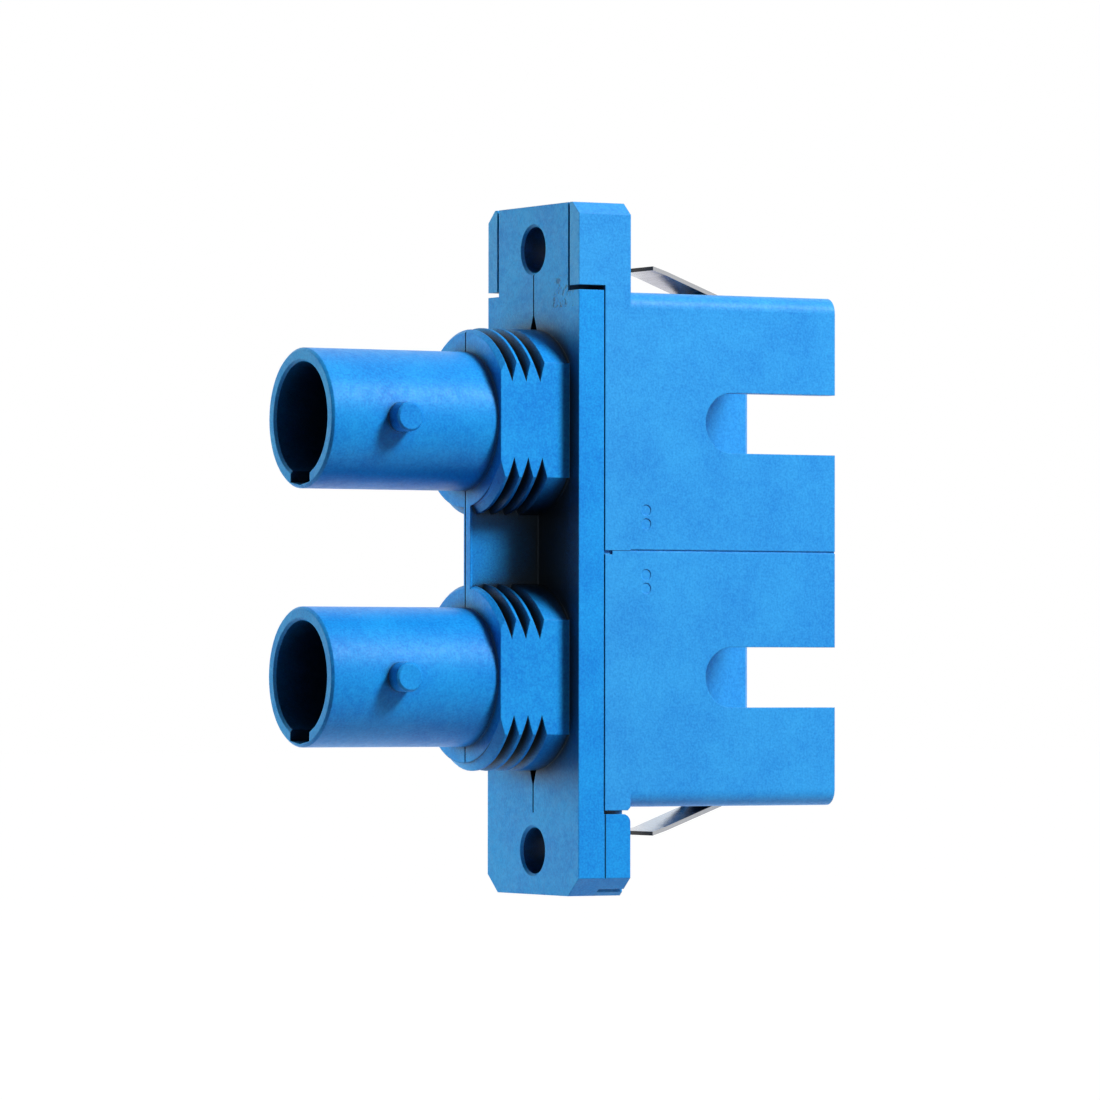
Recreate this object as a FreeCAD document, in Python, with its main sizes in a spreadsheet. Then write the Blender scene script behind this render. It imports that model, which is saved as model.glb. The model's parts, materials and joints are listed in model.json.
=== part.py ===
import FreeCAD, Part
import os

import Sketcher

# Duplex hybrid fibre adapter: two bayonet ports in line with two push-pull ports.
#
# Frame, in millimetres: X runs through the ports, from the bayonet barrels (-X) to the push-pull
# mouths (+X); Z runs along the flange from hole to hole; -Y is the side with the key slots.
# The origin is the middle of the flange's rear face, the face that seats on a panel.

DRIVING = [
    ("port_pitch", 12.7),
    # Flange, made of the front housing's plate and the rear housing's plate.
    ("flange_width", 9.3),
    ("flange_height", 34.36),
    ("flange_depth", 2.95),
    ("rear_plate", 1.45),
    ("top_corner_wide", 0.7),
    ("top_corner_high", 0.6),
    ("foot_corner_wide", 1.05),
    ("foot_corner_high", 0.9),
    ("top_cheek", 0.93),
    ("foot_cheek", 0.66),
    ("joint_gap", 0.17),
    ("top_shoulder", 12.81),
    ("top_gap", 0.24),
    ("foot_shoulder", 12.94),
    ("foot_gap", 0.18),
    ("foot_round", 0.42),
    ("shoulder_break", 0.15),
    ("hole_spacing", 30.0),
    ("hole_radius", 1.15),
    ("hole_rim", 0.13),
    ("joint_break", 0.09),
    # Marks of the mould: grooves where its halves meet, notches beside the collars, two dimples.
    ("parting_offset", -0.05),
    ("groove_width", 0.1),
    ("groove_depth", 0.06),
    ("foot_groove_end", 13.1),
    ("notch_width", 0.7),
    ("notch_depth", 0.5),
    ("notch_tip", 11.85),
    ("seam_offset", -0.07),
    ("nick_length", 0.42),
    ("nick_height", 0.2),
    ("nick_depth", 0.15),
    ("dimple_place", 0.9),
    ("dimple_height", 1.6),
    ("dimple_radius", 0.27),
    ("dimple_spacing", 0.68),
    ("dimple_depth", 0.04),
    # Threaded collars with two flats, and the web between them.
    ("collar_length", 3.87),
    ("collar_radius", 4.66),
    ("collar_lead", 0.26),
    ("collar_flat", 3.7),
    ("thread_pitch", 0.79),
    ("thread_root", 4.14),
    ("thread_tool", 4.74),
    ("thread_lead_flank", 0.44),
    ("thread_trail_flank", 0.3),
    ("thread_start", 4.56),
    ("thread_run", 3.31),
    ("web_thickness", 0.66),
    ("web_offset", -0.22),
    ("web_reach", 2.3),
    # Bayonet barrels.
    ("barrel_radius", 3.46),
    ("barrel_length", 9.2),
    ("barrel_edge", 0.12),
    ("bore_radius", 2.78),
    ("bore_depth", 8.05),
    ("keyway_width", 2.05),
    ("keyway_length", 2.8),
    ("keyway_floor", 3.29),
    ("keyway_corner", 3.14),
    ("lug_radius", 0.72),
    ("lug_reach", 4.46),
    ("lug_setback", 3.78),
    ("lug_edge", 0.1),
    # Split sleeves and the bores that hold them.
    ("sleeve_radius", 1.6),
    ("sleeve_bore", 1.245),
    ("sleeve_length", 11.4),
    ("sleeve_front", 7.25),
    ("sleeve_slit", 0.5),
    ("sleeve_edge", 0.12),
    ("lip_radius", 1.4),
    ("lip_depth", 0.5),
    ("lip_lead", 0.25),
    # Rear housing with its two rectangular ports.
    ("body_height", 25.56),
    ("body_length", 11.88),
    ("body_round", 0.8),
    ("mouth_height", 9.0),
    ("mouth_width", 7.4),
    ("mouth_lead", 0.25),
    ("key_width", 3.02),
    ("key_length", 7.56),
    ("seat_height", 10.2),
    ("seat_width", 7.9),
    ("seat_depth", 1.6),
    # Latch inserts.
    ("tube_radius", 2.15),
    ("hook_width", 3.8),
    ("hook_inside", 3.55),
    ("hook_outside", 4.35),
    ("hook_tip", 2.8),
    ("hook_catch", 5.5),
    ("hook_land", 0.35),
    ("hook_nose", 0.2),
    ("hook_reach", 7.1),
    # Panel clip, one folded strip of thin sheet.
    ("clip_sheet", 0.2),
    ("clip_front", 1.6),
    ("clip_back", 8.9),
    ("clip_end", 2.6),
    ("window_front", 2.7),
    ("window_width", 3.3),
    ("tab_width", 2.86),
    ("tab_root", 7.35),
    ("tab_overlap", 0.25),
    ("tab_root_shift", 0.07),
    ("tab_bend", 3.93),
    ("tab_bend_height", 1.27),
    ("tab_bend_shift", 0.03),
    ("tab_tip", 3.15),
    ("tab_tip_height", 1.51),
    # How far a cutting outline runs past the material.
    ("overcut", 1.0),
]

UPPER = "(dims.port_pitch / 2)"
LOWER = "(-dims.port_pitch / 2)"
PORTS = [("upper", UPPER), ("lower", LOWER)]

HALF_WIDTH = "(dims.flange_width / 2)"
HALF_HEIGHT = "(dims.flange_height / 2)"
TOP_CHEEK = "(dims.flange_width / 2 - dims.top_cheek)"
TOP_TONGUE = "(dims.flange_width / 2 - dims.top_cheek - dims.joint_gap)"
FOOT_CHEEK = "(dims.flange_width / 2 - dims.foot_cheek)"
FOOT_TONGUE = "(dims.flange_width / 2 - dims.foot_cheek - dims.joint_gap)"
FOOT_BEVEL = "(dims.flange_width / 2 - dims.foot_corner_wide)"
FOOT_SLOPE = "(dims.foot_corner_high / dims.foot_corner_wide)"
FLANGE_FACE = "(-dims.flange_depth)"
JOINT_FACE = "(-dims.rear_plate)"
COLLAR_FACE = "(-dims.flange_depth - dims.collar_length)"
BARREL_FACE = "(-dims.flange_depth - dims.collar_length - dims.barrel_length)"
BORE_FLOOR = "(-dims.flange_depth - dims.collar_length - dims.barrel_length + dims.bore_depth)"
SLEEVE_BACK = "(dims.sleeve_length - dims.sleeve_front)"
SEAT_FACE = "(dims.seat_depth - dims.rear_plate)"
BODY_TOP = "(dims.body_height / 2)"

doc = FreeCAD.newDocument("hybrid_fibre_adapter")
sheet = doc.addObject("Spreadsheet::Sheet", "dims")
for row, (alias, number) in enumerate(DRIVING, start=1):
    sheet.set(f"A{row}", alias)
    sheet.set(f"B{row}", str(number))
    sheet.setAlias(f"B{row}", alias)
doc.recompute()


def size(expression):
    """The number that an expression over the sheet gives now."""
    return float(sheet.evalExpression(str(expression)))


def new_body(name):
    body = doc.addObject("PartDesign::Body", name)
    body.Label = name
    return body


def new_sketch(body, name, plane, offset="0"):
    """A sketch on one of the body's own origin planes, moved along the plane's normal."""
    planes = [item for item in body.Origin.OriginFeatures if item.Role == plane]
    sketch = body.newObject("Sketcher::SketchObject", name)
    sketch.AttachmentSupport = (planes[0], [""])
    sketch.MapMode = "FlatFace"
    sketch.setExpression("AttachmentOffset.Base.z", str(offset))
    return sketch


def bind(sketch, kind, targets, expression):
    """Add one dimension to a sketch and tie it to the sheet."""
    index = sketch.addConstraint(Sketcher.Constraint(kind, *targets, size(expression)))
    sketch.setExpression(f"Constraints[{index}]", str(expression))


def draw_polygon(sketch, corners):
    """A closed outline whose corners are pairs of expressions."""
    points = [FreeCAD.Vector(size(across), size(along), 0) for across, along in corners]
    first = sketch.GeometryCount
    count = len(points)
    for index, point in enumerate(points):
        sketch.addGeometry(Part.LineSegment(point, points[(index + 1) % count]))
    for index, (across, along) in enumerate(corners):
        line = first + index
        following = first + (index + 1) % count
        sketch.addConstraint(Sketcher.Constraint("Coincident", line, 2, following, 1))
        bind(sketch, "DistanceX", (-1, 1, line, 1), across)
        bind(sketch, "DistanceY", (-1, 1, line, 1), along)


def draw_rectangle(sketch, low_across, high_across, low_along, high_along):
    draw_polygon(sketch, [
        (low_across, low_along),
        (high_across, low_along),
        (high_across, high_along),
        (low_across, high_along),
    ])


def draw_circle(sketch, across, along, radius):
    centre = FreeCAD.Vector(size(across), size(along), 0)
    circle = sketch.addGeometry(Part.Circle(centre, FreeCAD.Vector(0, 0, 1), size(radius)))
    bind(sketch, "Radius", (circle,), radius)
    bind(sketch, "DistanceX", (-1, 1, circle, 3), across)
    bind(sketch, "DistanceY", (-1, 1, circle, 3), along)


def extrude(body, kind, sketch, length, backwards=False, both_sides=False):
    """Pad or pocket a sketch, and make sure that it changed the body's volume as it should."""
    before = 0.0
    if body.Tip is not None:
        before = body.Tip.Shape.Volume
    feature = body.newObject(f"PartDesign::{kind}", sketch.Name + "_" + kind.lower())
    feature.Profile = sketch
    feature.setExpression("Length", str(length))
    feature.Reversed = backwards
    feature.Midplane = both_sides
    sketch.Visibility = False
    doc.recompute()
    change = feature.Shape.Volume - before
    if (kind == "Pad") != (change > 0) or abs(change) < 1e-6:
        raise RuntimeError(f"{feature.Name} changed the volume by {change}")
    return feature


def pad(body, sketch, length, **sides):
    return extrude(body, "Pad", sketch, length, **sides)


def pocket(body, sketch, length, **sides):
    return extrude(body, "Pocket", sketch, length, **sides)


def pad_along_x(body, name, start, end, draw, *arguments):
    """A pad between two X places, with its outline drawn in Y and Z."""
    sketch = new_sketch(body, name, "YZ_Plane", start)
    draw(sketch, *arguments)
    return pad(body, sketch, f"{end} - {start}")


def cut_along_x(body, name, start, end, draw, *arguments):
    """A pocket between two X places, with its outline drawn in Y and Z."""
    sketch = new_sketch(body, name, "YZ_Plane", start)
    draw(sketch, *arguments)
    return pocket(body, sketch, f"{end} - {start}", backwards=True)


def edges_where(shape, test):
    """Names of the edges whose middle point and direction pass a test."""
    names = []
    for index, edge in enumerate(shape.Edges, start=1):
        first, last = edge.ParameterRange
        middle = edge.valueAt((first + last) / 2)
        direction = edge.tangentAt((first + last) / 2)
        if test(edge, middle, direction):
            names.append(f"Edge{index}")
    return names


def dress(body, kind, name, test, expression):
    """Fillet or chamfer the edges of the body's tip that pass a test."""
    base = body.Tip
    names = edges_where(base.Shape, test)
    if not names:
        raise RuntimeError(f"{name} found no edge")
    feature = body.newObject(f"PartDesign::{kind}", name)
    feature.Base = (base, names)
    feature.setExpression("Radius" if kind == "Fillet" else "Size", str(expression))
    doc.recompute()
    return feature


def near(left, right, slack=1e-3):
    return abs(left - right) < slack


def is_circle(edge, radius, place):
    """A round edge about an X axis, of one radius, at one X place."""
    curve = edge.Curve
    round_edge = isinstance(curve, Part.Circle)
    return round_edge and near(curve.Radius, size(radius)) and near(curve.Center.x, size(place))


# ---------------------------------------------------------------- front housing

def front_plate(body):
    """Front half of the flange: a tongue at the top, and cheeks that wrap back at the foot."""
    outline = [
        (f"-{HALF_WIDTH}", f"dims.foot_corner_high - {HALF_HEIGHT}"),
        (f"-{FOOT_BEVEL}", f"-{HALF_HEIGHT}"),
        (FOOT_BEVEL, f"-{HALF_HEIGHT}"),
        (HALF_WIDTH, f"dims.foot_corner_high - {HALF_HEIGHT}"),
        (HALF_WIDTH, "dims.top_shoulder"),
        (TOP_TONGUE, "dims.top_shoulder"),
        (TOP_TONGUE, HALF_HEIGHT),
        (f"-{TOP_TONGUE}", HALF_HEIGHT),
        (f"-{TOP_TONGUE}", "dims.top_shoulder"),
        (f"-{HALF_WIDTH}", "dims.top_shoulder"),
    ]
    pad_along_x(body, "plate", FLANGE_FACE, JOINT_FACE, draw_polygon, outline)
    bevel_end = f"{FOOT_SLOPE} * ({FOOT_CHEEK} - {FOOT_BEVEL}) - {HALF_HEIGHT}"
    for side, sign in (("near", "-"), ("far", "")):
        cheek = [
            (f"{sign}{FOOT_CHEEK}", bevel_end),
            (f"{sign}{HALF_WIDTH}", f"dims.foot_corner_high - {HALF_HEIGHT}"),
            (f"{sign}{HALF_WIDTH}", "-dims.foot_shoulder - dims.foot_gap"),
            (f"{sign}{FOOT_CHEEK}", "-dims.foot_shoulder - dims.foot_gap"),
        ]
        pad_along_x(body, f"{side}_cheek", JOINT_FACE, "0", draw_polygon, cheek)
    dress(body, "Fillet", "foot_rounds",
          lambda edge, middle, direction: near(middle.x, 0.0)
          and near(middle.z, size("-dims.foot_shoulder - dims.foot_gap"))
          and near(abs(direction.y), 1.0), "dims.foot_round")


def collar(body, name, height):
    """A collar with a bevelled front, a right-hand V thread and a flat on each side."""
    pad_along_x(body, f"{name}_collar", COLLAR_FACE, FLANGE_FACE, draw_circle, "0", height,
                "dims.collar_radius")
    dress(body, "Chamfer", f"{name}_collar_lead",
          lambda edge, middle, direction: is_circle(edge, "dims.collar_radius", COLLAR_FACE)
          and near(edge.Curve.Center.z, size(height)), "dims.collar_lead")
    profile = new_sketch(body, f"{name}_thread_profile", "XZ_Plane")
    profile.setExpression("AttachmentOffset.Base.y", height)
    start = f"({FLANGE_FACE} - dims.thread_start)"
    draw_polygon(profile, [
        (start, "-dims.thread_root"),
        (f"{start} - dims.thread_lead_flank", "-dims.thread_tool"),
        (f"{start} + dims.thread_trail_flank", "-dims.thread_tool"),
    ])
    thread = body.newObject("PartDesign::SubtractiveHelix", f"{name}_thread")
    thread.Profile = profile
    thread.ReferenceAxis = (profile, ["H_Axis"])
    thread.Mode = 0
    thread.setExpression("Pitch", "dims.thread_pitch")
    thread.setExpression("Height", "dims.thread_run")
    profile.Visibility = False
    doc.recompute()
    for side, sign in (("near", "-"), ("far", "")):
        cut_along_x(body, f"{name}_{side}_flat", COLLAR_FACE, FLANGE_FACE, draw_rectangle,
                    f"{sign}dims.collar_flat", f"{sign}(dims.collar_radius + dims.overcut)",
                    f"{height} - dims.collar_radius", f"{height} + dims.collar_radius")


def barrel(body, name, height):
    """A bayonet barrel with its lugs, stepped bore and keyway."""
    pad_along_x(body, f"{name}_barrel", BARREL_FACE, COLLAR_FACE, draw_circle, "0", height,
                "dims.barrel_radius")
    lugs = new_sketch(body, f"{name}_lugs", "XZ_Plane")
    draw_circle(lugs, f"{BARREL_FACE} + dims.lug_setback", height, "dims.lug_radius")
    pad(body, lugs, "2 * dims.lug_reach", both_sides=True)
    dress(body, "Chamfer", f"{name}_lug_edges",
          lambda edge, middle, direction: isinstance(edge.Curve, Part.Circle)
          and near(abs(edge.Curve.Center.y), size("dims.lug_reach"))
          and near(edge.Curve.Center.z, size(height)), "dims.lug_edge")
    cut_along_x(body, f"{name}_bore", BARREL_FACE, BORE_FLOOR, draw_circle, "0", height,
                "dims.bore_radius")
    cut_along_x(body, f"{name}_lip", BORE_FLOOR, JOINT_FACE, draw_circle, "0", height,
                "dims.lip_radius")
    cut_along_x(body, f"{name}_sleeve_bore", "-dims.sleeve_front", JOINT_FACE, draw_circle, "0",
                height, "dims.sleeve_radius")
    dress(body, "Chamfer", f"{name}_lip_lead",
          lambda edge, middle, direction: is_circle(edge, "dims.lip_radius", BORE_FLOOR)
          and near(edge.Curve.Center.z, size(height)), "dims.lip_lead")
    dress(body, "Chamfer", f"{name}_barrel_edges",
          lambda edge, middle, direction: (is_circle(edge, "dims.barrel_radius", BARREL_FACE)
                                           or is_circle(edge, "dims.bore_radius", BARREL_FACE))
          and near(edge.Curve.Center.z, size(height)), "dims.barrel_edge")
    cut_along_x(body, f"{name}_keyway", BARREL_FACE, f"{BARREL_FACE} + dims.keyway_length",
                draw_polygon, [
                    ("-dims.keyway_width / 2", height),
                    ("-dims.keyway_width / 2", f"{height} - dims.keyway_corner"),
                    ("0", f"{height} - dims.keyway_floor"),
                    ("dims.keyway_width / 2", f"{height} - dims.keyway_corner"),
                    ("dims.keyway_width / 2", height),
                ])


def mounting_holes(body, start, end, rim_place):
    """Two through holes, with a small bevel round the outer rim."""
    for name, height in (("top", "dims.hole_spacing / 2"), ("foot", "-dims.hole_spacing / 2")):
        cut_along_x(body, f"{name}_hole", start, end, draw_circle, "0", height,
                    "dims.hole_radius")
    dress(body, "Chamfer", "hole_rims",
          lambda edge, middle, direction: is_circle(edge, "dims.hole_radius", rim_place),
          "dims.hole_rim")


def parting_marks(body):
    """Grooves down the front faces and the foot's sides, and a V notch beside each collar."""
    low = "dims.parting_offset - dims.groove_width / 2"
    high = "dims.parting_offset + dims.groove_width / 2"
    collar_end = "(dims.port_pitch / 2 + dims.collar_radius)"
    barrel_end = "(dims.port_pitch / 2 + dims.barrel_radius)"
    groove_floor = f"{FLANGE_FACE} + dims.groove_depth"
    collar_floor = f"{COLLAR_FACE} + dims.groove_depth"
    for name, sign, groove_end in (("top", "", "dims.hole_spacing / 2"),
                                   ("foot", "-", "dims.foot_groove_end")):
        cut_along_x(body, f"{name}_notch", FLANGE_FACE, f"{FLANGE_FACE} + dims.notch_depth",
                    draw_polygon, [
                        ("dims.parting_offset - dims.notch_width / 2",
                         f"{sign}({collar_end} - dims.groove_width)"),
                        ("dims.parting_offset + dims.notch_width / 2",
                         f"{sign}({collar_end} - dims.groove_width)"),
                        ("dims.parting_offset", f"{sign}dims.notch_tip"),
                    ])
        cut_along_x(body, f"{name}_groove", FLANGE_FACE, groove_floor, draw_rectangle,
                    low, high, f"{sign}{collar_end}", f"{sign}{groove_end}")
        cut_along_x(body, f"{name}_collar_groove", COLLAR_FACE, collar_floor, draw_rectangle,
                    low, high, f"{sign}{barrel_end}", f"{sign}{collar_end}")
    web_end = "(dims.port_pitch / 2 - dims.barrel_radius)"
    cut_along_x(body, "web_groove", COLLAR_FACE, collar_floor, draw_rectangle,
                low, high, f"-{web_end}", web_end)
    for side, sign in (("near", "-"), ("far", "")):
        cut_along_x(body, f"{side}_foot_groove", f"({JOINT_FACE} - dims.groove_width / 2)",
                    f"({JOINT_FACE} + dims.groove_width / 2)", draw_rectangle,
                    f"{sign}({HALF_WIDTH} - dims.groove_depth)",
                    f"{sign}({HALF_WIDTH} + dims.overcut)",
                    f"-{HALF_HEIGHT}", "-(dims.foot_shoulder + dims.foot_gap)")


def front_housing():
    body = new_body("front_housing")
    front_plate(body)
    for name, height in PORTS:
        collar(body, name, height)
    for name, height in PORTS:
        barrel(body, name, height)
    pad_along_x(body, "web", COLLAR_FACE, FLANGE_FACE, draw_rectangle,
                "dims.web_offset - dims.web_thickness / 2",
                "dims.web_offset + dims.web_thickness / 2",
                "-dims.web_reach", "dims.web_reach")
    mounting_holes(body, FLANGE_FACE, JOINT_FACE, FLANGE_FACE)
    dress(body, "Chamfer", "joint_break",
          lambda edge, middle, direction: near(middle.x, size(JOINT_FACE))
          and near(abs(middle.y), size(HALF_WIDTH)) and near(abs(direction.z), 1.0),
          "dims.joint_break")
    parting_marks(body)
    return body


# ---------------------------------------------------------------- rear housing

def rear_plate(body):
    """Rear half of the flange: a tongue at the foot, and cheeks that wrap forwards at the top."""
    bevel_end = f"{FOOT_SLOPE} * ({FOOT_TONGUE} - {FOOT_BEVEL}) - {HALF_HEIGHT}"
    outline = [
        (f"-{HALF_WIDTH}", f"{HALF_HEIGHT} - dims.top_corner_high"),
        (f"dims.top_corner_wide - {HALF_WIDTH}", HALF_HEIGHT),
        (f"{HALF_WIDTH} - dims.top_corner_wide", HALF_HEIGHT),
        (HALF_WIDTH, f"{HALF_HEIGHT} - dims.top_corner_high"),
        (HALF_WIDTH, "-dims.foot_shoulder"),
        (FOOT_TONGUE, "-dims.foot_shoulder"),
        (FOOT_TONGUE, bevel_end),
        (FOOT_BEVEL, f"-{HALF_HEIGHT}"),
        (f"-{FOOT_BEVEL}", f"-{HALF_HEIGHT}"),
        (f"-{FOOT_TONGUE}", bevel_end),
        (f"-{FOOT_TONGUE}", "-dims.foot_shoulder"),
        (f"-{HALF_WIDTH}", "-dims.foot_shoulder"),
    ]
    pad_along_x(body, "plate", JOINT_FACE, "0", draw_polygon, outline)
    dress(body, "Chamfer", "shoulder_breaks",
          lambda edge, middle, direction: near(middle.x, 0.0)
          and near(middle.z, size("-dims.foot_shoulder"))
          and near(abs(direction.y), 1.0), "dims.shoulder_break")
    for side, sign in (("near", "-"), ("far", "")):
        cheek = [
            (f"{sign}{TOP_CHEEK}", HALF_HEIGHT),
            (f"{sign}({HALF_WIDTH} - dims.top_corner_wide)", HALF_HEIGHT),
            (f"{sign}{HALF_WIDTH}", f"{HALF_HEIGHT} - dims.top_corner_high"),
            (f"{sign}{HALF_WIDTH}", "dims.top_shoulder + dims.top_gap"),
            (f"{sign}{TOP_CHEEK}", "dims.top_shoulder + dims.top_gap"),
        ]
        pad_along_x(body, f"{side}_cheek", FLANGE_FACE, JOINT_FACE, draw_polygon, cheek)


def port(body, name, height):
    """One port: the insert's seat at the joint, the mouth, and the key slot in the near wall."""
    cut_along_x(body, f"{name}_seat", JOINT_FACE, SEAT_FACE, draw_rectangle,
                "-dims.seat_width / 2", "dims.seat_width / 2",
                f"{height} - dims.seat_height / 2", f"{height} + dims.seat_height / 2")
    cut_along_x(body, f"{name}_mouth", SEAT_FACE, "dims.body_length", draw_rectangle,
                "-dims.mouth_width / 2", "dims.mouth_width / 2",
                f"{height} - dims.mouth_height / 2", f"{height} + dims.mouth_height / 2")
    dress(body, "Chamfer", f"{name}_mouth_lead",
          lambda edge, middle, direction: near(middle.x, size("dims.body_length"))
          and abs(middle.y) < size("dims.mouth_width / 2") + 0.01
          and abs(middle.z - size(height)) < size("dims.mouth_height / 2") + 0.01,
          "dims.mouth_lead")
    centre = "(dims.body_length - dims.key_length + dims.key_width / 2)"
    inner_wall = "(dims.mouth_width / 2 - dims.overcut)"
    slot = new_sketch(body, f"{name}_key", "XZ_Plane", inner_wall)
    draw_rectangle(slot, centre, "dims.body_length", f"{height} - dims.key_width / 2",
                   f"{height} + dims.key_width / 2")
    pocket(body, slot, f"{HALF_WIDTH} - {inner_wall}", backwards=True)
    slot_end = new_sketch(body, f"{name}_key_end", "XZ_Plane", inner_wall)
    draw_circle(slot_end, centre, height, "dims.key_width / 2")
    pocket(body, slot_end, f"{HALF_WIDTH} - {inner_wall}", backwards=True)


def clip_corners():
    """The clip's section as three walls of one U, used for the clip and for its recess."""
    inner_top = f"{BODY_TOP} - dims.clip_sheet"
    inner_side = f"{HALF_WIDTH} - dims.clip_sheet"
    return [
        ("-dims.clip_end", BODY_TOP),
        (HALF_WIDTH, BODY_TOP),
        (HALF_WIDTH, f"-{BODY_TOP}"),
        ("-dims.clip_end", f"-{BODY_TOP}"),
        ("-dims.clip_end", f"-({inner_top})"),
        (inner_side, f"-({inner_top})"),
        (inner_side, inner_top),
        ("-dims.clip_end", inner_top),
    ]


def round_inner_bends(body, name):
    """Round the two edges where the clip's inner face turns from the side to the ends."""
    inner_top = size(f"{BODY_TOP} - dims.clip_sheet")
    inner_side = size(f"{HALF_WIDTH} - dims.clip_sheet")
    dress(body, "Fillet", name,
          lambda edge, middle, direction: near(middle.y, inner_side)
          and near(abs(middle.z), inner_top) and near(abs(direction.x), 1.0),
          "dims.body_round - dims.clip_sheet")


def port_body(body):
    """The rectangular body behind the flange, with the clip's recess and rounded long edges."""
    pad_along_x(body, "port_body", "0", "dims.body_length", draw_rectangle,
                f"-{HALF_WIDTH}", HALF_WIDTH, f"-{BODY_TOP}", BODY_TOP)
    cut_along_x(body, "clip_recess", "dims.clip_front", "dims.clip_back", draw_polygon,
                clip_corners())
    round_inner_bends(body, "recess_bends")
    dress(body, "Fillet", "long_edges",
          lambda edge, middle, direction: near(abs(middle.y), size(HALF_WIDTH))
          and near(abs(middle.z), size(BODY_TOP)) and middle.x > 0
          and near(abs(direction.x), 1.0), "dims.body_round")


def cut_near_side(body, name, depth, draw, *arguments):
    """A shallow pocket in the near side, with its outline drawn in X and Z."""
    sketch = new_sketch(body, name, "XZ_Plane", f"{HALF_WIDTH} - {depth}")
    draw(sketch, *arguments)
    return pocket(body, sketch, f"{depth} + dims.overcut", backwards=True)


def moulding_marks(body):
    """The seam along the near side, a nick at its front end, and a pair of dimples each side."""
    cut_near_side(body, "seam", "dims.groove_depth", draw_rectangle,
                  "0", "dims.body_length + dims.overcut",
                  "dims.seam_offset - dims.groove_width / 2",
                  "dims.seam_offset + dims.groove_width / 2")
    cut_near_side(body, "nick", "dims.nick_depth", draw_rectangle,
                  JOINT_FACE, f"{JOINT_FACE} + dims.nick_length",
                  "dims.seam_offset - dims.nick_height", "dims.seam_offset")
    for name, sign in (("upper", ""), ("lower", "-")):
        for place, shift in (("outer", "+"), ("inner", "-")):
            cut_near_side(body, f"{name}_{place}_dimple", "dims.dimple_depth", draw_circle,
                          "dims.dimple_place",
                          f"{sign}(dims.dimple_height {shift} dims.dimple_spacing / 2)",
                          "dims.dimple_radius")


def rear_housing():
    body = new_body("rear_housing")
    rear_plate(body)
    port_body(body)
    for name, height in PORTS:
        port(body, name, height)
    mounting_holes(body, JOINT_FACE, "0", "0")
    moulding_marks(body)
    return body


# ---------------------------------------------------------------- parts inside the ports

def latch_insert(name, height):
    """A seat plate with the rear half of the sleeve's tube and two latch hooks."""
    body = new_body(f"{name}_latch_insert")
    pad_along_x(body, "seat", JOINT_FACE, SEAT_FACE, draw_rectangle,
                "-dims.seat_width / 2", "dims.seat_width / 2",
                f"{height} - dims.seat_height / 2", f"{height} + dims.seat_height / 2")
    tube_end = f"({SLEEVE_BACK} + dims.lip_depth)"
    pad_along_x(body, "tube", SEAT_FACE, tube_end, draw_circle, "0", height,
                "dims.tube_radius")
    for place, sign in (("top", "+"), ("foot", "-")):
        hook = new_sketch(body, f"{place}_hook", "XZ_Plane")
        draw_polygon(hook, [
            (SEAT_FACE, f"{height} {sign} dims.hook_inside"),
            ("dims.hook_catch", f"{height} {sign} dims.hook_inside"),
            ("dims.hook_catch", f"{height} {sign} dims.hook_tip"),
            ("dims.hook_catch + dims.hook_land", f"{height} {sign} dims.hook_tip"),
            ("dims.hook_reach", f"{height} {sign} (dims.hook_inside + dims.hook_nose)"),
            ("dims.hook_reach", f"{height} {sign} dims.hook_outside"),
            (SEAT_FACE, f"{height} {sign} dims.hook_outside"),
        ])
        pad(body, hook, "dims.hook_width", both_sides=True)
    cut_along_x(body, "sleeve_bore", JOINT_FACE, SLEEVE_BACK, draw_circle, "0", height,
                "dims.sleeve_radius")
    cut_along_x(body, "lip", SLEEVE_BACK, tube_end, draw_circle, "0", height,
                "dims.lip_radius")
    dress(body, "Chamfer", "lip_lead",
          lambda edge, middle, direction: is_circle(edge, "dims.lip_radius", tube_end),
          "dims.lip_lead")
    return body


def split_sleeve(name, height):
    """The slotted tube that lines up the two ferrules."""
    body = new_body(f"{name}_split_sleeve")
    pad_along_x(body, "wall", "-dims.sleeve_front", SLEEVE_BACK, draw_circle, "0", height,
                "dims.sleeve_radius")
    cut_along_x(body, "bore", "-dims.sleeve_front", SLEEVE_BACK, draw_circle, "0", height,
                "dims.sleeve_bore")
    dress(body, "Chamfer", "ends",
          lambda edge, middle, direction: is_circle(edge, "dims.sleeve_bore", SLEEVE_BACK)
          or is_circle(edge, "dims.sleeve_bore", "-dims.sleeve_front"), "dims.sleeve_edge")
    cut_along_x(body, "slit", "-dims.sleeve_front", SLEEVE_BACK, draw_rectangle, "0",
                "dims.sleeve_radius + dims.overcut", f"{height} - dims.sleeve_slit / 2",
                f"{height} + dims.sleeve_slit / 2")
    return body


# ---------------------------------------------------------------- panel clip

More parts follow.
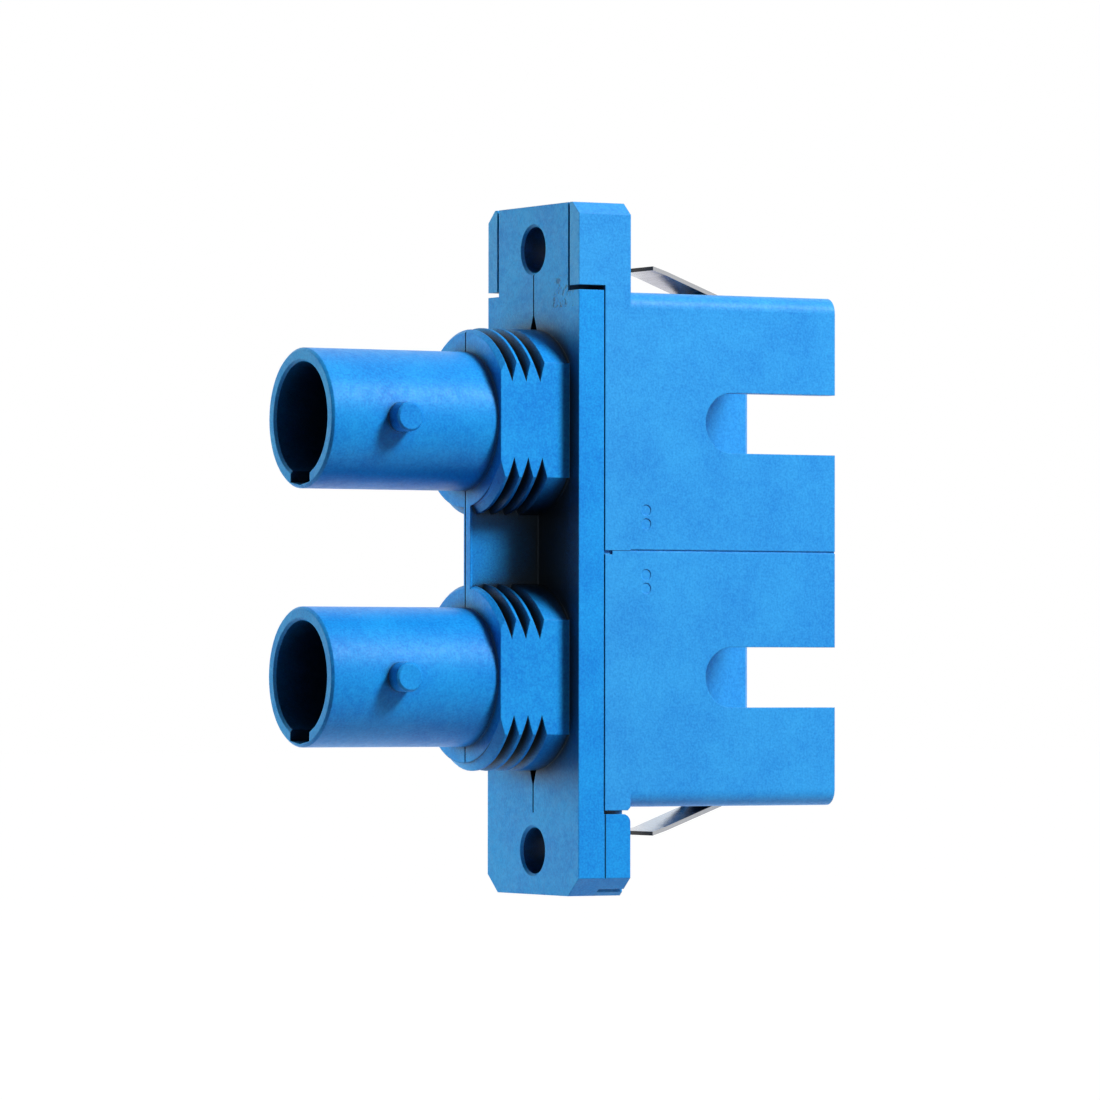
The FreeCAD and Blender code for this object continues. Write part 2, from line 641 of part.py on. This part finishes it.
def panel_clip():
    """One folded strip: a base on the far side, and an end leg with a sprung tab at each end."""
    body = new_body("panel_clip")
    pad_along_x(body, "strip", "dims.clip_front", "dims.clip_back", draw_polygon, clip_corners())
    round_inner_bends(body, "inner_bends")
    dress(body, "Fillet", "outer_bends",
          lambda edge, middle, direction: near(middle.y, size(HALF_WIDTH))
          and near(abs(middle.z), size(BODY_TOP)) and near(abs(direction.x), 1.0),
          "dims.body_round")
    windows = new_sketch(body, "windows", "XY_Plane", f"-{BODY_TOP} - dims.overcut")
    draw_rectangle(windows, "dims.window_front", "dims.tab_root", "-dims.window_width / 2",
                   "dims.window_width / 2")
    pocket(body, windows, "dims.body_height + 2 * dims.overcut", backwards=True)
    bend = f"({BODY_TOP} + dims.tab_bend_height)"
    tip = f"({BODY_TOP} + dims.tab_tip_height)"
    for place, sign in (("top", ""), ("foot", "-")):
        tab = new_sketch(body, f"{place}_tab", "XZ_Plane")
        draw_polygon(tab, [
            ("dims.tab_root + dims.tab_overlap", f"{sign}{BODY_TOP}"),
            ("dims.tab_root", f"{sign}{BODY_TOP}"),
            ("dims.tab_bend", f"{sign}{bend}"),
            ("dims.tab_tip", f"{sign}{tip}"),
            ("dims.tab_tip", f"{sign}({tip} - dims.clip_sheet)"),
            ("dims.tab_bend - dims.tab_bend_shift", f"{sign}({bend} - dims.clip_sheet)"),
            ("dims.tab_root - dims.tab_root_shift", f"{sign}({BODY_TOP} - dims.clip_sheet)"),
            ("dims.tab_root + dims.tab_overlap", f"{sign}({BODY_TOP} - dims.clip_sheet)"),
        ])
        pad(body, tab, "dims.tab_width", both_sides=True)
    return body


front_housing()
rear_housing()
for port_name, port_height in PORTS:
    latch_insert(port_name, port_height)
    split_sleeve(port_name, port_height)
panel_clip()
doc.recompute()

for item in doc.Objects:
    if "Invalid" in item.State or "Error" in item.State:
        raise RuntimeError(f"{item.Name} failed: {item.State}")

os.makedirs("parts", exist_ok=True)
for item in doc.Objects:
    if item.TypeId == "PartDesign::Body":
        solid = item.Shape
        if solid.isNull() or not solid.isValid() or len(solid.Solids) != 1:
            raise RuntimeError(f"{item.Label} is not one valid solid")
        solid.exportStep(f"parts/{item.Label}.step")
        print(f"{item.Label}: {solid.Volume:.1f} cubic mm")
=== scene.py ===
import json
import math

import bpy
from mathutils import Matrix, Vector


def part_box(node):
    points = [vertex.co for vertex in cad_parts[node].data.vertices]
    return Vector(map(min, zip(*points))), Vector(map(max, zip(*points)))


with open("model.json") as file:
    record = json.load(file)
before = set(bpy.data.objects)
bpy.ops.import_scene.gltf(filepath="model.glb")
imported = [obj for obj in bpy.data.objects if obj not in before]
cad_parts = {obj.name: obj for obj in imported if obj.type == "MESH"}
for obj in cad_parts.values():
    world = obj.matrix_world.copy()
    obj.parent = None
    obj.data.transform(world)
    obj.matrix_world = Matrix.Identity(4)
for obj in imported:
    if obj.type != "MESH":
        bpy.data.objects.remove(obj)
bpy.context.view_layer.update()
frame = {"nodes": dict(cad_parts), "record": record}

MM = 0.001
WHITE = (1, 1, 1, 1)

# ---------------------------------------------------------------- places taken from the frame

FRONT_LOW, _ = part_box("front_housing")
REAR_LOW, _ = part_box("rear_housing")
# The rear housing's top cheeks reach the flange's front face.
FLANGE_FACE = REAR_LOW.x

# ---------------------------------------------------------------- camera

# The viewing angle of the photograph: from the barrels' side, almost level with the flange.
CAMERA_TURN = math.radians(29.31)
CAMERA_RISE = math.radians(-1.056)
CAMERA_ROLL = math.radians(0.061)
CAMERA_DISTANCE = 345 * MM
CAMERA_LENS = 226.1
CAMERA_SENSOR = 36
CAMERA_CLIP = (0.01, 10)
AIM_RIGHT = 0.853 * MM


def add_camera():
    """A long lens aimed just beside the middle of the flange's front face."""
    back = Vector((
        -math.sin(CAMERA_TURN) * math.cos(CAMERA_RISE),
        -math.cos(CAMERA_TURN) * math.cos(CAMERA_RISE),
        math.sin(CAMERA_RISE),
    ))
    right = Vector((math.cos(CAMERA_TURN), -math.sin(CAMERA_TURN), 0))
    up = back.cross(right)
    aim = Vector((FLANGE_FACE, 0, 0)) + right * AIM_RIGHT
    data = bpy.data.cameras.new("camera")
    data.lens = CAMERA_LENS
    data.sensor_width = CAMERA_SENSOR
    data.clip_start, data.clip_end = CAMERA_CLIP
    camera = bpy.data.objects.new("camera", data)
    turn = Matrix((right, up, back)).transposed().to_4x4()
    camera.matrix_world = (Matrix.Translation(aim + back * CAMERA_DISTANCE) @ turn
                           @ Matrix.Rotation(CAMERA_ROLL, 4, "Z"))
    bpy.context.scene.collection.objects.link(camera)
    bpy.context.scene.camera = camera


# ---------------------------------------------------------------- shader helpers

WALL_SAMPLES = 8
EDGE_SAMPLES = 4
# A flat counts as facing an axis from the first of these to, in full, the second.
FLATS_FACING = (0.8, 0.95)
EDGES_FACING = (0.85, 0.93)
# Fades in millimetres: up to the flats, and inside a box's six sides.
FLATS_FADE = 0.1
CRISP = (0.01, 0.01, 0.01)


class Shader:
    """The node tree of a material or a world, with short calls for the nodes used here."""

    def __init__(self, owner, output="OutputMaterial"):
        self.owner = owner
        owner.use_nodes = True
        self.tree = owner.node_tree
        self.tree.nodes.clear()
        self.output = self.node(output)

    def node(self, kind, **settings):
        made = self.tree.nodes.new("ShaderNode" + kind)
        for key, setting in settings.items():
            setattr(made, key, setting)
        return made

    def feed(self, value, socket):
        """Link a socket, or set a plain number or colour."""
        if isinstance(value, bpy.types.NodeSocket):
            self.tree.links.new(value, socket)
        else:
            socket.default_value = value

    def axes(self, vector):
        made = self.node("SeparateXYZ")
        self.feed(vector, made.inputs[0])
        return made.outputs

    def stretch(self, vector, scale):
        made = self.node("Mapping")
        self.feed(scale, made.inputs["Scale"])
        self.feed(vector, made.inputs["Vector"])
        return made.outputs["Vector"]

    def noise(self, vector, per_mm, detail, roughness):
        made = self.node("TexNoise")
        self.feed(per_mm / MM, made.inputs["Scale"])
        self.feed(detail, made.inputs["Detail"])
        self.feed(roughness, made.inputs["Roughness"])
        self.feed(vector, made.inputs["Vector"])
        return made.outputs["Fac"]

    def ramp(self, value, low, high, to_low, to_high):
        made = self.node("MapRange", clamp=True)
        self.feed(value, made.inputs["Value"])
        self.feed(low, made.inputs["From Min"])
        self.feed(high, made.inputs["From Max"])
        self.feed(to_low, made.inputs["To Min"])
        self.feed(to_high, made.inputs["To Max"])
        return made.outputs["Result"]

    def math(self, operation, first, second=0.0):
        made = self.node("Math", operation=operation)
        self.feed(first, made.inputs[0])
        self.feed(second, made.inputs[1])
        return made.outputs[0]

    def mix(self, amount, first, second, blend="MIX"):
        made = self.node("Mix", data_type="RGBA", blend_type=blend)
        self.feed(amount, made.inputs["Factor"])
        self.feed(first, made.inputs["A"])
        self.feed(second, made.inputs["B"])
        return made.outputs["Result"]

    def bump(self, height, depth, strength, normal=None):
        """A relief so many millimetres deep, over another normal where one is given."""
        made = self.node("Bump")
        self.feed(strength, made.inputs["Strength"])
        self.feed(depth * MM, made.inputs["Distance"])
        self.feed(height, made.inputs["Height"])
        if normal is not None:
            self.feed(normal, made.inputs["Normal"])
        return made.outputs["Normal"]

    def show(self, surface):
        self.feed(surface.outputs[0], self.output.inputs["Surface"])

    def principled(self, colour, roughness, normal):
        """The shader that every piece of the object ends in. It comes back for more settings."""
        surface = self.node("BsdfPrincipled")
        self.feed(colour, surface.inputs["Base Color"])
        self.feed(roughness, surface.inputs["Roughness"])
        self.feed(normal, surface.inputs["Normal"])
        self.show(surface)
        return surface


def in_the_open(shader, reach, low, high):
    """1 in the open, falling to 0 where walls stand within so many millimetres all round."""
    hollow = shader.node("AmbientOcclusion", samples=WALL_SAMPLES)
    hollow.inputs["Distance"].default_value = reach * MM
    return shader.ramp(hollow.outputs["AO"], low, high, 0.0, 1.0)


def on_side_faces(shader, coordinates, out):
    """1 on the flats that face +Y or -Y and lie further out than so many millimetres."""
    away = shader.math("ABSOLUTE", shader.axes(coordinates["Object"])["Y"])
    facing = shader.math("ABSOLUTE", shader.axes(coordinates["Normal"])["Y"])
    far_out = shader.ramp(away, (out - FLATS_FADE) * MM, out * MM, 0.0, 1.0)
    return shader.math("MULTIPLY", far_out, shader.ramp(facing, *FLATS_FACING, 0.0, 1.0))


def inside_box(shader, place, low, high, fade=CRISP):
    """1 inside a box given in millimetres, falling to 0 over the last so many of them."""
    place_parts = shader.axes(place)
    inside = 1.0
    for axis, start, end, soft in zip("XYZ", low, high, fade):
        middle, half = (start + end) / 2 * MM, (end - start) / 2 * MM
        away = shader.math("ABSOLUTE", shader.math("SUBTRACT", place_parts[axis], middle))
        part = shader.ramp(away, half - soft * MM, half, 1.0, 0.0)
        inside = shader.math("MULTIPLY", inside, part)
    return inside


# ---------------------------------------------------------------- colours

# The rear housing's blue, the front housing's, which comes from another batch, and the latch
# inserts' natural plastic. Each has a darker tone for its specks.
BLUE = (0.038, 0.430, 0.940, 1)
BLUE_SPECK = (0.008, 0.235, 0.720, 1)
DEEP_BLUE = (0.018, 0.410, 0.960, 1)
DEEP_BLUE_SPECK = (0.003, 0.200, 0.720, 1)
NATURAL = (0.78, 0.76, 0.68, 1)
NATURAL_SPECK = (0.70, 0.67, 0.58, 1)
# The tint of the front housing's gloss.
DEEP_SHEEN = (0.60, 0.80, 1.00, 1)
# What the painted shade in deep recesses is multiplied by, and the colour of the seam and of the
# flecks of flash.
RECESS_SHADE = (0.03, 0.03, 0.035, 1)
SEAM_SHADE = (0.004, 0.09, 0.26, 1)
# White zirconia, in its grinding marks and between them.
CERAMIC_MARKS = (0.86, 0.85, 0.80, 1)
CERAMIC = (0.93, 0.93, 0.90, 1)
# The clip's strip, in the dark and the bright of its grain, then the painted shade on its edges
# on the near side, and the darker painted shade on the edges that face along X.
STEEL_DARK = (0.62, 0.62, 0.66, 1)
STEEL_BRIGHT = (0.80, 0.80, 0.84, 1)
STEEL_NEAR_EDGE_SHADE = (0.45, 0.46, 0.48, 1)
STEEL_X_EDGE_SHADE = (0.03, 0.03, 0.03, 1)

# ---------------------------------------------------------------- grains

# Each noise: its scale per millimetre, its detail and its roughness.
CLOUD = (0.35, 3.0, 0.5)
MOTTLE = (2.6, 4.0, 0.65)
SPARK_GRAIN = (9.0, 2.0, 0.6)
FLECKS = (2.2, 3.0, 0.7)
CERAMIC_GRAIN = (9.0, 3.0, 0.5)
STEEL_GRAIN = (7.0, 4.0, 0.7)
# The middle of a noise, which a ramp stretches from one colour or roughness to another.
SPECK_BAND = (0.35, 0.65)
GRAIN_BAND = (0.3, 0.7)
# How much of the specks the cloud, the mottle and the spark-eroded grain make.
SPECK_SHARES = (0.3, 0.2, 0.5)
# The grinding runs along the sleeves, and the rolling along the clip's strip.
SLEEVE_STRETCH = (0.08, 1.0, 1.0)
CLIP_STRETCH = (1.0, 0.06, 0.06)
# The roughness of each finish, from its smoothest spots to its roughest.
HOUSING_ROUGH = (0.37, 0.49)
LATCH_ROUGH = (0.33, 0.45)
CERAMIC_ROUGH = (0.12, 0.22)
STEEL_ROUGH = (0.16, 0.28)
# The relief of each finish: its depth in millimetres, and its strength.
PLASTIC_RELIEF = (0.012, 0.6)
CERAMIC_RELIEF = (0.001, 0.4)
STEEL_RELIEF = (0.002, 0.5)

# ---------------------------------------------------------------- painted recess shade and marks, in mm

# Each painted shade: how far it looks for walls, how open a place is where it is darkest and
# where it is gone, and the room that it holds in, as a box's low corner, high corner and fade.
# The rooms are the barrels, the well between the collars' fronts and the flange, the flange
# with its two holes, and the flange's front face beside and between the collars, where the
# collars' shadow is painted and which fades out at the collars' far ends.
BARREL_ROOM = ((-16.2, -6.0, -18.0), (-6.9, 6.0, 18.0))
WELL_ROOM = ((-6.7, -6.0, -18.0), (-2.8, 6.0, 18.0))
HOLE_ROOM = ((-2.85, -6.0, -18.0), (0.2, 6.0, 18.0))
# The room of the collars' painted shadow on the flange's front face.
COLLAR_SHADOW_ROOM = ((-3.1, -6.0, -12.0), (-2.85, 6.0, 12.0), (0.01, 0.01, 4.0))
PORT_SHADES = ((1.2, 0.1, 0.4, None),)
DEEP_SHADES = (
    (2.0, 0.47, 0.73, None),
    (6.5, 0.48, 0.78, BARREL_ROOM),
    (9.0, 0.47, 0.77, WELL_ROOM),
    (6.5, 0.40, 0.75, HOLE_ROOM),
    (9.0, 0.65, 0.95, COLLAR_SHADOW_ROOM),
)
# The collars' flats, further out than this, get none of the painted shade, so they stay as
# light as the flange's side.
EVEN_FLATS = 3.6
# The seam along the rear housing's near side goes on across its flange plate, from the nick.
PLATE_SEAM = ((-1.03, -4.7, -0.10), (0.02, -4.6, -0.05))
# A patch of ragged flash on the flange's front, under the near end of the top cheek.
FLASH_PATCH = ((-3.0, -4.1, 12.0), (-2.9, -2.0, 13.6))
# Where in their noise the flash's flecks start and are full, how much of the seam's colour they
# take, and how many times the grain's relief they lie deeper.
FLECK_BAND = (0.5, 0.58)
FLECK_DARKNESS = 0.8
FLECK_DEPTH = 3.0
EDGE_RADIUS = 0.07

# ---------------------------------------------------------------- finishes

def recess_shades(shader, coordinates, base, shades, even_flats):
    """Paint shade into a colour where walls shut it in, but not on side flats where those stay
    even.
    """
    for reach, low, high, room in shades:
        lit = in_the_open(shader, reach, low, high)
        if even_flats:
            lit = shader.math("MAXIMUM", lit, on_side_faces(shader, coordinates, even_flats))
        if room:
            inside = inside_box(shader, coordinates["Object"], *room)
            lit = shader.math("MAXIMUM", lit, shader.math("SUBTRACT", 1.0, inside))
        base = shader.mix(1.0, base, shader.mix(lit, RECESS_SHADE, WHITE), "MULTIPLY")
    return base


def moulded_plastic(name, colour, speck, shades, even_flats=None, seam=None, scuff=None,
                    sheen=WHITE, rough=HOUSING_ROUGH):
    """Satin moulded plastic: cloudy and speckled, a spark-eroded grain, soft edges, painted
    shade.
    """
    shader = Shader(bpy.data.materials.new(name))
    coordinates = shader.node("TexCoord").outputs
    place = coordinates["Object"]
    cloud, mottle, grain = (shader.noise(place, *waves) for waves in (CLOUD, MOTTLE, SPARK_GRAIN))
    tone = 0.0
    for layer, share in zip((cloud, mottle, grain), SPECK_SHARES):
        tone = shader.math("ADD", tone, shader.ramp(layer, *SPECK_BAND, 0.0, share))
    base = shader.mix(tone, colour, speck)
    # Painted shade, darkest where walls shut the surface in.
    base = recess_shades(shader, coordinates, base, shades, even_flats)
    if seam:
        base = shader.mix(inside_box(shader, place, *seam), base, SEAM_SHADE)
    height = grain
    if scuff:
        flecks = shader.ramp(shader.noise(place, *FLECKS), *FLECK_BAND, 0.0, 1.0)
        flecks = shader.math("MULTIPLY", flecks, inside_box(shader, place, *scuff))
        base = shader.mix(shader.math("MULTIPLY", flecks, FLECK_DARKNESS), base, SEAM_SHADE)
        height = shader.math("SUBTRACT", grain, shader.math("MULTIPLY", flecks, FLECK_DEPTH))
    soft = shader.node("Bevel", samples=EDGE_SAMPLES)
    soft.inputs["Radius"].default_value = EDGE_RADIUS * MM
    surface = shader.principled(
        base,
        shader.ramp(mottle, *GRAIN_BAND, *rough),
        shader.bump(height, *PLASTIC_RELIEF, soft.outputs["Normal"]),
    )
    surface.inputs["Specular Tint"].default_value = sheen
    return shader.owner


def ground_ceramic(name):
    """White zirconia: a fine lengthwise grinding grain under a smooth gloss."""
    shader = Shader(bpy.data.materials.new(name))
    place = shader.stretch(shader.node("TexCoord").outputs["Object"], SLEEVE_STRETCH)
    grain = shader.noise(place, *CERAMIC_GRAIN)
    shader.principled(
        shader.mix(shader.ramp(grain, *GRAIN_BAND, 0.0, 1.0), CERAMIC_MARKS, CERAMIC),
        shader.ramp(grain, *GRAIN_BAND, *CERAMIC_ROUGH),
        shader.bump(grain, *CERAMIC_RELIEF),
    )
    return shader.owner


def rolled_steel(name):
    """Bright rolled spring strip with a faint grain along the roll and painted shade on its
    edges.
    """
    low, high = EDGES_FACING
    shader = Shader(bpy.data.materials.new(name))
    coordinates = shader.node("TexCoord").outputs
    grain = shader.noise(shader.stretch(coordinates["Object"], CLIP_STRETCH), *STEEL_GRAIN)
    facing = shader.axes(coordinates["Normal"])
    # Painted shade on the sheared edges, set by the way they face.
    near_edge_shade = shader.ramp(facing["Y"], -high, -low, 1.0, 0.0)
    x_edge_shade = shader.ramp(shader.math("ABSOLUTE", facing["X"]), low, high, 0.0, 1.0)
    sheet = shader.mix(shader.ramp(grain, *GRAIN_BAND, 0.0, 1.0), STEEL_DARK, STEEL_BRIGHT)
    sheet = shader.mix(near_edge_shade, sheet, STEEL_NEAR_EDGE_SHADE)
    sheet = shader.mix(x_edge_shade, sheet, STEEL_X_EDGE_SHADE)
    surface = shader.principled(
        sheet,
        shader.ramp(grain, *GRAIN_BAND, *STEEL_ROUGH),
        shader.bump(grain, *STEEL_RELIEF),
    )
    surface.inputs["Metallic"].default_value = 1.0
    return shader.owner


def dress_nodes():
    """Give each CAD node the finish of its slot, and the front housing its own blue."""
    finishes = {
        "housing_blue": moulded_plastic("housing_plastic", BLUE, BLUE_SPECK, PORT_SHADES,
                                        seam=PLATE_SEAM),
        "latch_plastic": moulded_plastic("latch_plastic", NATURAL, NATURAL_SPECK, PORT_SHADES,
                                         rough=LATCH_ROUGH),
        "sleeve_ceramic": ground_ceramic("sleeve_ceramic"),
        "clip_steel": rolled_steel("clip_steel"),
    }
    for part in frame["record"]["subparts"]:
        node = frame["nodes"][part["node"]]
        node.data.materials.clear()
        node.data.materials.append(finishes[part["material_slot"]])
    frame["nodes"]["front_housing"].data.materials[0] = moulded_plastic(
        "front_housing_plastic", DEEP_BLUE, DEEP_BLUE_SPECK, DEEP_SHADES,
        even_flats=EVEN_FLATS, scuff=FLASH_PATCH, sheen=DEEP_SHEEN)


# ---------------------------------------------------------------- stage and light, in metres

FLOOR_DROP = 30 * MM
FLOOR_SIZE = 6
# Under and behind the object a patch of the floor throws light up, and around it the floor is
# dim. To be seen as white the dim floor glows in full, and the patch by what its light lacks.
PATCH_MIDDLE = (0.03, 0.085, 0.0)
PATCH_EDGE = (0.09, 0.15)
PATCH_COLOUR = (0.45, 0.75, 0.95, 1)
PATCH_GLOW = (0.78, 0.68, 0.64, 1)
FLOOR_COLOUR = (0.04, 0.06, 0.08, 1)
WORLD_LEVEL = 0.03
# Each lamp: its place, watts, size, colour, and whether gloss shows it.
LAMPS = {
    "key": ((0.088, -0.176, 0.154), 0.49, 0.05, (1, 1, 1), False),
    "gloss": ((0.088, -0.176, 0.154), 0.25, 0.08, (1, 1, 1), True),
    "side": ((-0.26, 0.43, 0.06), 3.4, 0.30, (1.0, 0.98, 0.75), False),
}


def seen_rays(shader):
    """1 for a ray that shows its find to the camera, straight or by a mirror or through glass."""
    rays = shader.node("LightPath").outputs
    seen = shader.math("MAXIMUM", rays["Is Camera Ray"], rays["Is Glossy Ray"])
    return shader.math("MAXIMUM", seen, rays["Is Transmission Ray"])


def white_stage():
    """A floor that is seen as white, apart from the object's soft shadow under it."""
    shader = Shader(bpy.data.materials.new("floor_white"))
    reach = shader.node("VectorMath", operation="DISTANCE")
    shader.feed(shader.node("TexCoord").outputs["Object"], reach.inputs[0])
    reach.inputs[1].default_value = PATCH_MIDDLE
    near = shader.ramp(reach.outputs["Value"], *PATCH_EDGE, 1.0, 0.0)
    surface = shader.node("BsdfDiffuse")
    shader.feed(shader.mix(near, FLOOR_COLOUR, PATCH_COLOUR), surface.inputs["Color"])
    glow = shader.node("Emission")
    shader.feed(shader.mix(near, WHITE, PATCH_GLOW), glow.inputs["Color"])
    shader.feed(seen_rays(shader), glow.inputs["Strength"])
    both = shader.node("AddShader")
    shader.feed(surface.outputs[0], both.inputs[0])
    shader.feed(glow.outputs[0], both.inputs[1])
    shader.show(both)
    bpy.ops.mesh.primitive_plane_add(size=FLOOR_SIZE, location=(0, 0, FRONT_LOW.z - FLOOR_DROP))
    floor = bpy.context.object
    floor.name = "floor"
    floor.data.materials.append(shader.owner)


def white_world():
    """A dim even world that is seen as white."""
    shader = Shader(bpy.data.worlds.new("studio"), "OutputWorld")
    background = shader.node("Background")
    background.inputs["Color"].default_value = WHITE
    shader.feed(shader.ramp(seen_rays(shader), 0.0, 1.0, WORLD_LEVEL, 1.0),
                background.inputs["Strength"])
    shader.show(background)
    bpy.context.scene.world = shader.owner


def light_set():
    """Square lamps that all face the part's origin."""
    for name, (place, watts, size, colour, glossy) in LAMPS.items():
        data = bpy.data.lights.new(name, "AREA")
        data.shape = "SQUARE"
        data.size = size
        data.energy = watts
        data.color = colour
        light = bpy.data.objects.new(name, data)
        light.location = place
        light.visible_glossy = glossy
        light.rotation_euler = (-Vector(place)).to_track_quat("-Z", "Y").to_euler()
        bpy.context.scene.collection.objects.link(light)


add_camera()
dress_nodes()
white_stage()
white_world()
light_set()
bpy.context.scene.view_settings.view_transform = "Standard"
